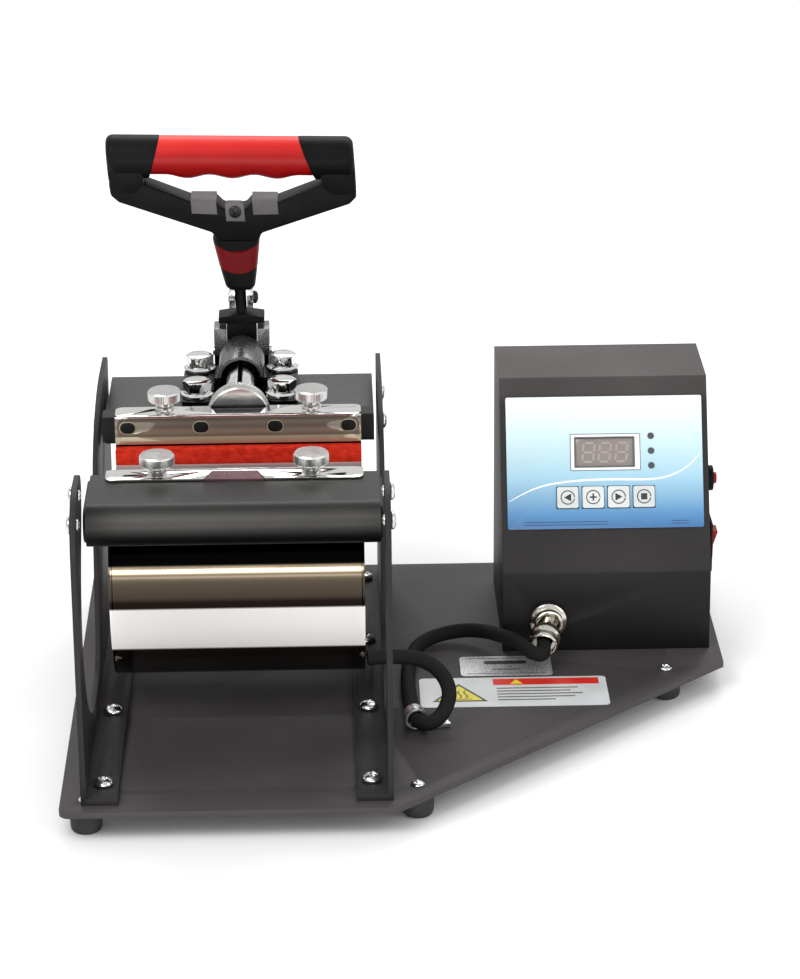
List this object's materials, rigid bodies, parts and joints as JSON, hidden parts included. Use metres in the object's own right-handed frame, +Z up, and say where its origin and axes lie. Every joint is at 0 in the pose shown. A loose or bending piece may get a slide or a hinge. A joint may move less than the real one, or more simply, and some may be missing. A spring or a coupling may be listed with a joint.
{
  "type": "mug heat press",
  "caption": "Bench mug heat press: a lever clamp closes a U-shaped heated wrap round a mug, beside a sloped control console.",
  "frame": {"origin": "centre of the bounding box at the underside of the feet", "axes": "+Z up, the operator and the open front of the wrap face -Y, the control console is at +X"},
  "size_m": [0.33, 0.3264, 0.2591],
  "materials": {
    "powder_coat": "fine-texture charcoal powder coat",
    "foot_rubber": "matte",
    "fastener": "bright plated",
    "knurled_steel": "turned and knurled",
    "band_steel": "polished spring steel",
    "cast_grey": "satin silver-grey casting",
    "silicone_sponge": "open-grained red silicone sponge",
    "heater_mat": "smooth pinkish-grey release skin",
    "black_plastic": "fine matte",
    "red_plastic": "satin gloss",
    "panel_film": "printed membrane film",
    "display_window": "smoked window",
    "circuit_board": "solder mask",
    "white_key": "satin",
    "braid": "woven braid sleeve"
  },
  "bodies": {
    "frame": {"base_plate": "powder_coat", "foot_front_left": "foot_rubber", "foot_front_middle": "foot_rubber", "foot_right": "foot_rubber", "foot_rear_left": "foot_rubber", "foot_rear_right": "foot_rubber", "side_plate_left": "powder_coat", "side_plate_right": "powder_coat", "flange_screw_left_1": "fastener", "flange_screw_left_2": "fastener", "flange_screw_right_1": "fastener", "flange_screw_right_2": "fastener", "front_jaw_shell": "powder_coat", "front_jaw_cap_left": "powder_coat", "front_jaw_cap_right": "powder_coat", "bridge": "powder_coat", "clamp_body": "cast_grey", "clamp_bolt_front_left": "fastener", "clamp_bolt_front_right": "fastener", "clamp_bolt_rear_left": "fastener", "clamp_bolt_rear_right": "fastener", "pivot_pin": "fastener", "wrap_band": "band_steel", "wrap_sponge": "silicone_sponge", "wrap_heater": "heater_mat", "wrap_flange_front": "band_steel", "console_cover": "powder_coat", "console_tray": "powder_coat", "panel_overlay": "panel_film", "display": "display_window", "control_board": "circuit_board", "power_inlet": "black_plastic", "reset_collar": "black_plastic", "rocker_frame": "black_plastic", "connector_socket": "fastener", "connector_plug": "fastener", "heater_lead": "braid", "cable_clip": "fastener"},
    "lever": {"lever_root": "black_plastic", "handle_stem": "black_plastic", "handle_yoke": "black_plastic", "grip_cap_left": "black_plastic", "grip_cap_right": "black_plastic", "grip": "red_plastic"},
    "carriage": {"plunger": "fastener", "moving_jaw": "powder_coat", "wrap_flange_rear": "band_steel"},
    "disc": {"pressure_disc": "knurled_steel"},
    "thumb_front_left": {"thumb_screw_front_left": "knurled_steel"},
    "thumb_front_right": {"thumb_screw_front_right": "knurled_steel"},
    "thumb_rear_left": {"thumb_screw_rear_left": "knurled_steel"},
    "thumb_rear_right": {"thumb_screw_rear_right": "knurled_steel"},
    "button_1": {"key_1": "white_key"},
    "button_2": {"key_2": "white_key"},
    "button_3": {"key_3": "white_key"},
    "button_4": {"key_4": "white_key"},
    "reset": {"reset_button": "red_plastic"},
    "switch": {"rocker": "red_plastic"}
  },
  "joints": [
    {"name": "lever_swing", "type": "hinge", "parent": "frame", "child": "lever", "pos_m": [-0.0813, 0.14225, 0.139], "axis": [-1, 0, 0], "range_deg": [0, 88]},
    {"name": "carriage_slide", "type": "slide", "parent": "frame", "child": "carriage", "axis": [0, -1, 0], "range_m": [0, 0.0286], "deforming": ["wrap_band", "wrap_sponge", "wrap_heater"]},
    {"name": "disc_turn", "type": "hinge", "parent": "carriage", "child": "disc", "pos_m": [-0.0813, 0.03975, 0.139], "axis": [0, 1, 0], "continuous": true},
    {"name": "thumb_front_left_turn", "type": "hinge", "parent": "frame", "child": "thumb_front_left", "pos_m": [-0.1183, -0.06565, 0.15], "axis": [0, 0, 1], "continuous": true},
    {"name": "thumb_front_right_turn", "type": "hinge", "parent": "frame", "child": "thumb_front_right", "pos_m": [-0.0443, -0.06565, 0.15], "axis": [0, 0, 1], "continuous": true},
    {"name": "thumb_rear_left_turn", "type": "hinge", "parent": "carriage", "child": "thumb_rear_left", "pos_m": [-0.1183, 0.02715, 0.15], "axis": [0, 0, 1], "continuous": true},
    {"name": "thumb_rear_right_turn", "type": "hinge", "parent": "carriage", "child": "thumb_rear_right", "pos_m": [-0.0443, 0.02715, 0.15], "axis": [0, 0, 1], "continuous": true},
    {"name": "button_1_press", "type": "slide", "parent": "frame", "child": "button_1", "axis": [0, 0.9003, -0.4353], "range_m": [0, 0.0005], "stiffness_N_per_m": 800},
    {"name": "button_2_press", "type": "slide", "parent": "frame", "child": "button_2", "axis": [0, 0.9003, -0.4353], "range_m": [0, 0.0005], "stiffness_N_per_m": 800},
    {"name": "button_3_press", "type": "slide", "parent": "frame", "child": "button_3", "axis": [0, 0.9003, -0.4353], "range_m": [0, 0.0005], "stiffness_N_per_m": 800},
    {"name": "button_4_press", "type": "slide", "parent": "frame", "child": "button_4", "axis": [0, 0.9003, -0.4353], "range_m": [0, 0.0005], "stiffness_N_per_m": 800},
    {"name": "reset_press", "type": "slide", "parent": "frame", "child": "reset", "axis": [-1, 0, 0], "range_m": [0, 0.0015], "stiffness_N_per_m": 600},
    {"name": "rocker_tilt", "type": "hinge", "parent": "frame", "child": "switch", "pos_m": [0.1575, 0.03725, 0.066], "axis": [0, -1, 0], "range_deg": [0, 14]}
  ],
  "couplings": [
    {"joint": "carriage_slide", "follows": "lever_swing", "m_per_rad": 0.01856}
  ]
}
